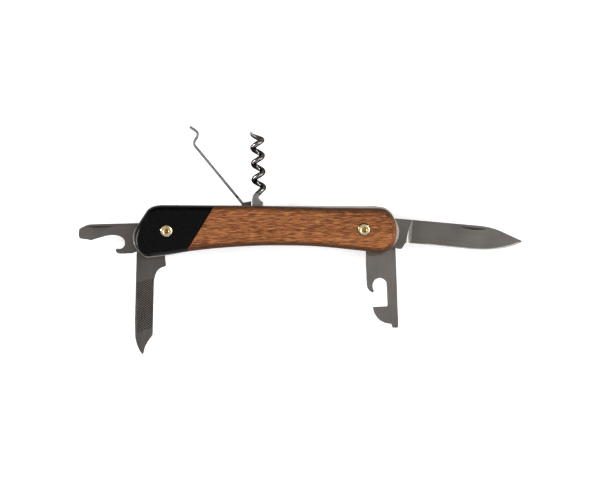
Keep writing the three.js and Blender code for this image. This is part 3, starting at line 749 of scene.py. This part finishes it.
def makeBlade():
    length, spine, edge, clip = blade["length"], blade["spine"], blade["edge"], blade["clipStart"]
    points = tangArc()
    follow(points, (0, 0), [
        (5.6, -knife["tangRadius"]), (7.6, -5.6, 8.2, -5.2), (9.2, -3.3), (9.9, -2.35, 10.8, -3.0),
        (16.8, -edge + 0.25), (clip - 5.5, -edge), (length - 6.9, -edge + 0.07, length - 0.5, 0.6),
        (length - 0.05, 0.98, length - 0.55, 1.35), (length - 6.6, 3.5),
        (clip + 2.2, spine - 0.1, clip - 3, spine), (5.4, spine), (4.9, knife["tangRadius"]),
    ])
    piece = toolPlate(points, knife["pinRadius"])
    half = knife["toolThickness"] / 2
    slope = math.atan((half - blade["edgeThickness"] / 2) / (spine + edge))
    wall = blade["plungeWall"]
    for way in (1, -1):  # each side is ground away below the spine, up to a rounded plunge
        # the wedge that grinds it reaches past the blade's edge and tip
        ground = [(wall + 0.15, 1), (wall, -20), (length * 2, -20), (length * 2, 1)]
        wedge = plate(ground, 0 if way > 0 else -6, 6 if way > 0 else 0)
        selectEdges(wedge, lambda a, b: max(abs(a.z), abs(b.z)) < hair and max(a.x, b.x) < wall + 1)
        bpy.ops.mesh.bevel(
            offset=blade["plungeRound"] * mm, segments=10, profile=0.5, affect="EDGES", clamp_overlap=False,
        )
        leaveEdit()
        wedge.rotation_euler.x = way * slope
        wedge.location = (0, spine * mm, way * half * mm)
        pick(wedge)
        bpy.ops.object.transform_apply(location=True, rotation=True, scale=True)
        cutAway(piece, wedge)
    editAll(piece)
    bpy.ops.mesh.bisect(plane_co=(0, 0, 0), plane_no=(0, 0, 1))
    leaveEdit()
    drawEdge(piece, points, slope)
    cutAway(piece, nick(blade["nick"], 1))
    outwards(piece)
    softEdges(piece, blade["softness"], 2, 50)
    piece.data.materials.append(steels["satinBladeSteel"])
    piece.data.materials.append(steels["paleHighlightBladeSteel"])
    for face in piece.data.polygons:  # the plunge and the sharpened band get the paler steel as a painted highlight, the narrow edges don't
        x, facing = face.center.x / mm, face.normal
        plunge = wall - 1 < x < wall + blade["plungeRound"] + 0.1 and facing.x > 0.03
        sharpened = x > blade["edgeStart"] and facing.y < -0.2
        face.material_index = 1 if abs(facing.z) > 0.3 and (plunge or sharpened) else 0
    put(piece, knife["rightPivot"], frontLayerMiddle, blade["turn"])
    smooth(piece, 20)
    return piece


finish(makeBlade(), "main_blade_ground", "main_blade", "main_blade")
print("main blade made")

opener = {
    "length": 34.3, "spine": 5.3, "clawSide": 5.5, "clawReach": 21.4, "notchStart": 16.3,
    "hookStart": 26.5, "notchFloor": 1.55, "turn": -87.6, "softness": 0.09,
}


def makeOpener():
    length, spine, claw, reach = opener["length"], opener["spine"], opener["clawSide"], opener["clawReach"]
    notch, hookStart, floor = opener["notchStart"], opener["hookStart"], opener["notchFloor"]
    points = tangArc()
    follow(points, (0, 0), [
        (11.3, -claw), (reach - 3.0, -claw), (reach - 1.1, -claw, reach, -3.7),
        (reach, -3.0, reach - 0.7, -3.05), (reach - 2.5, -3.9, notch + 1.1, -2.85),
    ])
    arc(points, (notch + 2.5, floor - 2.42), 2.45, 228, 90, 24)
    follow(points, (0, 0), [
        (hookStart - 0.3, floor), (hookStart, floor - 0.3), (hookStart, -3.4),
        (hookStart + 0.1, -3.75, hookStart + 0.5, -3.7), (length - 2.1, -2.6, length - 1.5, 2.3),
        (length - 1.4, 2.8, length - 0.8, 2.85), (length - 0.1, 3.0), (length, 4.5),
        (length, 4.9, length - 0.5, spine - 0.15), (6.4, spine), (5.9, knife["tangRadius"]),
    ])
    piece = toolPlate(points, knife["pinRadius"])
    outwards(piece)
    softEdges(piece, opener["softness"], 3, 40)
    put(piece, knife["rightPivot"], rearLayerMiddle, opener["turn"])
    smooth(piece, 25)
    return piece


finish(
    makeOpener(), "can_opener_plate", "can_opener", "can_opener",
    steels["satinOpenerSteel"],
)

lifter = {
    "length": 25.98, "spine": 5.4, "notchFloor": 0.88, "notchStart": 9.65, "turn": 1.4, "softness": 0.09,
    "nick": {"start": 13.7, "length": 9.2, "top": 4.62, "sag": 1.4, "depth": 0.38, "wall": (0.38, 0.28)},
}


def makeLifter():
    length, spine = lifter["length"], lifter["spine"]
    notch, floor = lifter["notchStart"], lifter["notchFloor"]
    points = tangArc()
    follow(points, (0, 0), [
        (4.6, -4.55), (5.9, -4.8, 7.2, -5.3), (11.6, -5.36), (12.85, -5.2, 12.98, -3.9),
        (12.95, -3.5, 12.4, -3.52), (10.6, -3.9, notch + 0.1, -2.3),
        (notch - 0.3, floor - 0.85, notch + 1.85, floor),
        (notch + 4.35, floor + 0.95, notch + 7.85, floor - 0.05),
        (length - 4.7, -0.22), (length - 4.2, -0.38, length - 3.6, -0.12), (length - 0.6, 0.35),
        (length - 0.1, 0.6, length, 1.8), (length - 0.15, 3.6),
        (length - 0.6, 4.2, length - 2.9, spine - 0.3), (length - 4, spine, length - 5.1, spine),
        (4.6, spine), (4.1, knife["tangRadius"]),
    ])
    piece = toolPlate(mirrored(points), knife["pinRadius"])
    softEdges(piece, lifter["softness"], 3, 40)
    cutAway(piece, nick(lifter["nick"], -1))
    outwards(piece)
    put(piece, knife["leftPivot"], frontLayerMiddle, lifter["turn"])
    smooth(piece, 25)
    return piece


finish(
    makeLifter(), "cap_lifter_plate", "cap_lifter", "cap_lifter_screwdriver",
    steels["satinLifterSteel"],
)

nailFile = {
    "length": 41.4, "spine": 5.38, "edge": 1.05, "heelEnd": 9.9, "turn": 88.5, "softness": 0.06,
    "cutCorners": ((16.1, 4.9), (14.4, -0.8), (34.0, 4.4), (31.7, -0.9)),
    "cutPitch": 0.67, "cutDepth": 0.16, "cutAngle": 54, "cellsAlong": 190, "cellsAcross": 60,
    "bed": 0.3, "sheet": 0.12, "borderSink": 0.02,  # the cut sheet lies in a bed, its border a little lower
}


def fileHatch():  # rows of small pyramids between the two slanted lines
    half = knife["toolThickness"] / 2
    topStart, lowStart, topEnd, lowEnd = nailFile["cutCorners"]
    bpy.ops.object.select_all(action="DESELECT")
    bpy.ops.mesh.primitive_grid_add(
        x_subdivisions=nailFile["cellsAlong"], y_subdivisions=nailFile["cellsAcross"],
        size=2, location=(0, 0, 0),
    )
    hatch = bpy.context.object
    slant = math.radians(nailFile["cutAngle"])
    cutHeight = hatch.data.attributes.new("cutHeight", "FLOAT", "POINT")
    for vertex in hatch.data.vertices:
        along, across = (vertex.co.x + 1) / 2, (vertex.co.y + 1) / 2
        top = Vector(topStart).lerp(Vector(topEnd), along)
        low = Vector(lowStart).lerp(Vector(lowEnd), along)
        spot = low.lerp(top, across)
        height = 1.0
        for way in (1, -1):
            row = (spot.x * math.sin(slant) + way * spot.y * math.cos(slant)) / nailFile["cutPitch"]
            height = min(height, abs(row - math.floor(row) - 0.5) * 2)
        cutHeight.data[vertex.index].value = height
        z = half - nailFile["cutDepth"] * (1 - height)
        if min(along, across, 1 - along, 1 - across) < 0.001:  # the field's border
            z = z - nailFile["borderSink"]
        vertex.co = (-spot.x * mm, spot.y * mm, z * mm)
    outwards(hatch)
    if hatch.data.polygons[0].normal.z < 0:  # an open sheet has no outside, so its faces are turned up here
        editAll(hatch)
        bpy.ops.mesh.flip_normals()
        leaveEdit()
    applyModifier(hatch, "SOLIDIFY", thickness=nailFile["sheet"] * mm, offset=-1)
    outwards(hatch)
    return hatch


def makeFile():
    length, spine, edge, heel = nailFile["length"], nailFile["spine"], nailFile["edge"], nailFile["heelEnd"]
    points = tangArc()
    follow(points, (0, 0), [
        (7, -4.78), (heel - 0.4, -5.2), (heel + 0.2, -5.1, 10.2, -4.4), (10.9, -1.2, 16.2, -edge),
        (length - 6.8, -edge - 0.05), (length - 3.6, 1.4, length - 1.7, 1.7), (length - 0.4, 1.95),
        (length + 0.2, 2.2, length - 0.2, 2.7), (length - 2.8, 4.6, length - 6.2, spine - 0.25),
        (length - 12.6, spine), (5.4, spine), (4.9, knife["tangRadius"]),
    ])
    piece = toolPlate(mirrored(points), knife["pinRadius"])
    half = knife["toolThickness"] / 2
    topStart, lowStart, topEnd, lowEnd = nailFile["cutCorners"]
    field = [(-x, y) for x, y in (topStart, topEnd, lowEnd, lowStart)]
    softEdges(piece, nailFile["softness"], 3, 40)
    cutAway(piece, plate(field, half - nailFile["bed"], half + 1))
    outwards(piece)
    hatch = fileHatch()
    piece.data.materials.append(steels["satinFileSteel"])
    hatch.data.materials.append(steels["cutFileSteel"])
    pick(piece)
    hatch.select_set(True)
    bpy.ops.object.join()
    put(piece, knife["leftPivot"], rearLayerMiddle, nailFile["turn"])
    smooth(piece, 25)
    return piece


finish(makeFile(), "nail_file_cut", "nail_file", "nail_file")
print("opener, lifter and file made")


# Corkscrew: a round wire worm on a flat tang

worm = {
    "wire": 0.97, "radius": 1.62, "pitch": 5.67, "turns": 3.25, "axisOffset": -0.52,
    "firstSide": 8.15, "tangRadius": 1.9, "tangReach": 2.2, "turn": 92.3, "stepsPerTurn": 12,
    "spanSteps": 8, "roundness": 5, "tailLoss": 0.95, "tailCurve": 1.6, "tangSoftness": 0.25,
}
wormDepth = -(knife["layer"] + knife["middleLiner"]) / 2  # its axis lies between the two tool layers


def wormSpot(turn):
    angle = turn * 2 * math.pi
    return (
        worm["firstSide"] + (turn - 0.25) * worm["pitch"],
        worm["axisOffset"] - worm["radius"] * math.sin(angle),
        wormDepth + worm["radius"] * math.cos(angle),
    )


def makeWorm():
    marks = [(3.0, 0.9, 0), (4.5, 0.95, 0), (5.5, 0.45, 0)]
    steps = int(worm["turns"] * worm["stepsPerTurn"])
    marks += [wormSpot(step / worm["stepsPerTurn"]) for step in range(1, steps + 1)]
    x, y = wormSpot(worm["turns"])[0], worm["axisOffset"]
    tail = [  # the last half turn runs out into a slim point
        (x + 0.85, y, wormDepth - worm["radius"]), (x + 1.65, y + 1.55, wormDepth - 0.9),
        (x + 2.4, y + 2.0, wormDepth - 0.35), (x + 3.35, y + 2.05, wormDepth + 0.2),
    ]
    path = through(marks + tail, worm["spanSteps"])
    radii = [worm["wire"]] * len(path)
    tailStart, last = (len(marks) - 1) * worm["spanSteps"], len(path) - 1
    for k in range(tailStart, last + 1):
        share = (k - tailStart) / (last - tailStart)
        radii[k] = worm["wire"] * (1 - worm["tailLoss"] * share ** worm["tailCurve"])
    piece = wire(path, radii, worm["roundness"])
    rubbed = piece.data.attributes.new("rubbed", "FLOAT", "POINT")
    for vertex in piece.data.vertices:  # painted shade: darker where its faces turn sideways, lighter where they face front or back
        rubbed.data[vertex.index].value = abs(vertex.normal.z)
    put(piece, knife["corkscrewPivot"], frontLayerMiddle, worm["turn"])
    smooth(piece, 50)
    return piece


def makeWormTang():
    radius, reach = worm["tangRadius"], worm["tangReach"]
    points = [(4.7, 1.95)]
    follow(points, (0, 0), [
        (4.2, reach, 3.4, reach), (0, reach), (-radius, reach, -radius, 0.3), (-radius, -1.6, 0, -1.6),
        (1.7, -1.6), (2.9, -1.92), (3.6, -0.6, 4.8, -0.2), (6.0, -0.4), (6.3, 0.7),
    ])
    piece = toolPlate(points, knife["backPinRadius"])
    outwards(piece)
    softEdges(piece, worm["tangSoftness"], 4, 40)
    put(piece, knife["corkscrewPivot"], frontLayerMiddle, worm["turn"])
    smooth(piece, 35)
    return piece


finish(makeWorm(), "corkscrew_worm", "corkscrew", "corkscrew", steels["polishedWormSteel"])
finish(makeWormTang(), "corkscrew_tang", "corkscrew", "corkscrew", steels["matteTangSteel"])

hook = {
    "rod": 0.49, "rodLength": 29.66, "rise": 3.7, "tangRadius": 1.9, "turn": 129.6,
    "groove": 6.9, "grooveWidth": 0.9, "grooveShare": 0.85, "tipShares": (1, 0.97, 0.9, 0.65),
    "spanSteps": 10, "roundness": 4, "tangSoftness": 0.12,
}


def makeRod():
    start, rise = hook["rodLength"], hook["rise"]
    marks = [(3.0, -0.06, 0)]
    marks += [(x, -0.08, 0) for x in (5, 6.4, 7.4, 10, 15, 20, 25, start - 1.5)]
    marks += [
        (start, -0.1, 0), (start + 1.5, -0.26, 0), (start + 2.3, -1.3, 0), (start + 2.8, -2.7, 0),
        (start + 3.7, -rise, 0), (start + 5.2, -rise + 0.1, 0), (start + 7.3, -rise + 0.75, 0),
    ]
    path = through(marks, hook["spanSteps"])
    radii = [hook["rod"]] * len(path)
    for k, spot in enumerate(path):
        if abs(spot[0] - hook["groove"]) < hook["grooveWidth"] / 2:
            radii[k] = hook["rod"] * hook["grooveShare"]
    for k, share in enumerate(hook["tipShares"]):  # a rounded tip
        radii[k - len(hook["tipShares"])] = hook["rod"] * share
    piece = wire(path, radii, hook["roundness"])
    piece.data.materials.append(steels["drawnRodSteel"])
    piece.data.materials.append(steels["oxideBlackSteel"])
    for face in piece.data.polygons:  # the groove is black with oxide
        face.material_index = 1 if abs(face.center.x / mm - hook["groove"]) < hook["grooveWidth"] / 2 else 0
    put(piece, knife["hookPivot"], rearLayerMiddle, hook["turn"])
    smooth(piece, 50)
    return piece


def makeHookTang():
    points = []
    arc(points, (0, 0), hook["tangRadius"], 50, 255, 30)
    follow(points, (0, 0), [(1.04, -1.79), (2.54, -2.97), (3.9, -0.6), (3.9, 0.5)])
    piece = toolPlate(points, knife["backPinRadius"])
    outwards(piece)
    softEdges(piece, hook["tangSoftness"], 3, 40)
    put(piece, knife["hookPivot"], rearLayerMiddle, hook["turn"])
    smooth(piece, 35)
    return piece


finish(makeRod(), "pick_hook_rod", "hook", "pick_hook")
# the hook's tang gets the steel painted darker as shade
finish(makeHookTang(), "pick_hook_tang", "hook", "pick_hook", steels["shadedTangSteel"])
print("corkscrew and hook made")


# Liners and springs: the solids' own shapes with their edges broken

liners = {"proud": 0.27, "proudFrom": 10, "proudTo": 44, "ramp": 5, "backFrom": 5.5}


def standProud(copy):  # the liners stand a little proud of the wood along the right half of the back
    for vertex in copy.data.vertices:
        x, y = vertex.co.x / mm, vertex.co.y / mm
        if y > liners["backFrom"]:
            rise = min(1, max(0, (x - liners["proudFrom"]) / liners["ramp"]))
            fall = min(1, max(0, (liners["proudTo"] - x) / liners["ramp"]))
            vertex.co.y += liners["proud"] * mm * rise * fall


def brokenEdges(nodeName, width):
    pick(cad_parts[nodeName])
    bpy.ops.object.duplicate()
    copy = bpy.context.object
    copy.parent = None
    for key in list(copy.keys()):  # the copy is a piece of its own
        if key.startswith("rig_"):
            del copy[key]
    if "liner" in nodeName:
        standProud(copy)
    editAll(copy)
    bpy.ops.mesh.remove_doubles(threshold=mergeGap * mm)
    bpy.ops.mesh.dissolve_limited(angle_limit=math.radians(0.5))
    leaveEdit()
    softEdges(copy, width, 3, 40)
    smooth(copy, 25)
    return copy


# the liners get the near-white steel as a painted highlight on their edges
for nodeName, width in (("front_liner", 0.24), ("middle_liner", 0.1), ("rear_liner", 0.24)):
    liner = brokenEdges(nodeName, width)
    finish(liner, nodeName + "_edged", "handle", nodeName, steels["paleHighlightLinerSteel"])
for nodeName in ("front_back_spring", "rear_back_spring"):
    spring = brokenEdges(nodeName, 0.1)
    finish(spring, nodeName + "_edged", "handle", nodeName, steels["groundSpringSteel"])
for nodeName in ("left_pivot_pin", "right_pivot_pin", "corkscrew_pin", "hook_pin", "spring_pin"):
    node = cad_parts[nodeName]
    node.data.materials.clear()
    node.data.materials.append(steels["turnedPinSteel"])
print("liners, springs and pins finished")


# Studio: white floor, soft light, camera straight above

studio = {
    "floorSize": 4.0, "floorDrop": 0.0002, "floorColour": "#f2f2f2",  # in metres
    "floorLift": 0.48,  # the paper's own glow, for the camera and reflections alone
    "skyTones": [(0.0, 0.95), (0.06, 0.95), (0.16, 0.42), (0.5, 0.42), (0.82, 0.55), (1.0, 0.55)],
    "screenTone": (0.06, 0.06, 0.06, 1),
    "aim": (12.07, -3.55), "focusHeight": 11, "width": 213, "sensor": 36,
    "distance": 2.5,  # in metres
    "lamps": {  # place and size in metres, brightness, roll
        "rightSoftbox": ((0.95, -0.1, 0.6), (0.8, 0.8), 3.0, 0),
        "frontSoftbox": ((0.25, -0.85, 0.4), (0.5, 0.3), 2.5, 0),
        "leftStrip": ((-0.93, -0.03, 0.35), (1.05, 0.037), 95, -48),
        "topLamp": ((0.36, 0.2, 1.05), (0.1, 0.1), 48, 0),
        "leftSoftbox": ((-0.8, 0.2, 0.72), (0.34, 0.34), 2.4, 0),
    },
}


def makeFloor():  # matt white paper, without shine: a flat white round the knife's own shadow
    bpy.ops.object.select_all(action="DESELECT")
    bpy.ops.mesh.primitive_plane_add(size=studio["floorSize"], location=(0, 0, -studio["floorDrop"]))
    floor = bpy.context.object
    floor.name = "floor"
    material, tree, shader = startMaterial(
        "paperFloor", Roughness=0.9, Base_Color=srgb(studio["floorColour"]),
    )
    shader.inputs["Specular IOR Level"].default_value = 0.0
    shader.inputs["Emission Color"].default_value = (1, 1, 1, 1)
    path = addNode(tree, "ShaderNodeLightPath").outputs
    seen = addNode(
        tree, "ShaderNodeMath", {"operation": "MAXIMUM"},
        i0=path["Is Camera Ray"], i1=path["Is Glossy Ray"],
    ).outputs[0]
    seen = addNode(
        tree, "ShaderNodeMath", {"operation": "MAXIMUM"}, i0=seen, i1=path["Is Transmission Ray"],
    ).outputs[0]
    lift = addNode(tree, "ShaderNodeMath", {"operation": "MULTIPLY", 1: studio["floorLift"]}, i0=seen)
    tree.links.new(lift.outputs[0], shader.inputs["Emission Strength"])
    floor.data.materials.append(material)


def makeSky():  # a room that is pale at the horizon and greyer above, the same for every ray
    world = bpy.data.worlds.new("studioSky")
    scene.world = world
    world.use_nodes = True
    tree = world.node_tree
    direction = addNode(tree, "ShaderNodeTexCoord").outputs["Generated"]
    parts = addNode(tree, "ShaderNodeSeparateXYZ", Vector=direction).outputs
    sky = addNode(tree, "ShaderNodeValToRGB", {"stops": studio["skyTones"]}, Fac=parts["Z"]).outputs["Color"]
    behind = addNode(  # a dark screen stands behind the table
        tree, "ShaderNodeValToRGB", {"stops": [(0.22, 0.0), (0.45, 0.8)]}, Fac=parts["Y"],
    ).outputs["Color"]
    aboveHorizon = addNode(
        tree, "ShaderNodeValToRGB", {"stops": [(0.08, 0.0), (0.2, 1.0)]}, Fac=parts["Z"],
    ).outputs["Color"]
    screen = addNode(
        tree, "ShaderNodeMath", {"operation": "MULTIPLY"}, i0=behind, i1=aboveHorizon,
    ).outputs[0]
    tone = addNode(
        tree, "ShaderNodeMix", {"data_type": "RGBA", 7: studio["screenTone"]}, i0=screen, i6=sky,
    ).outputs[2]
    tree.links.new(tone, tree.nodes["Background"].inputs["Color"])


def addLamp(name, place, size, brightness, roll):  # it faces the knife, and its power follows its size
    bpy.ops.object.select_all(action="DESELECT")
    bpy.ops.object.light_add(type="AREA", location=place)
    lamp = bpy.context.object
    lamp.name = name
    lamp.data.shape = "RECTANGLE"
    lamp.data.size, lamp.data.size_y = size
    lamp.data.energy = brightness * math.pi * size[0] * size[1]
    facing = (-Vector(place)).to_track_quat("-Z", "Y")
    lamp.rotation_euler = (facing @ Quaternion((0, 0, 1), math.radians(roll))).to_euler()


makeFloor()
makeSky()
for name, lamp in studio["lamps"].items():
    addLamp(name, *lamp)

bpy.ops.object.select_all(action="DESELECT")
aim = studio["aim"]
height = studio["distance"] + studio["focusHeight"] * mm
bpy.ops.object.camera_add(location=(aim[0] * mm, aim[1] * mm, height), rotation=(0, 0, 0))
camera = bpy.context.object
camera.data.sensor_width = studio["sensor"]
camera.data.lens = studio["sensor"] * studio["distance"] / (studio["width"] * mm)
camera.data.clip_end = 20  # metres
scene.camera = camera
print("studio ready")
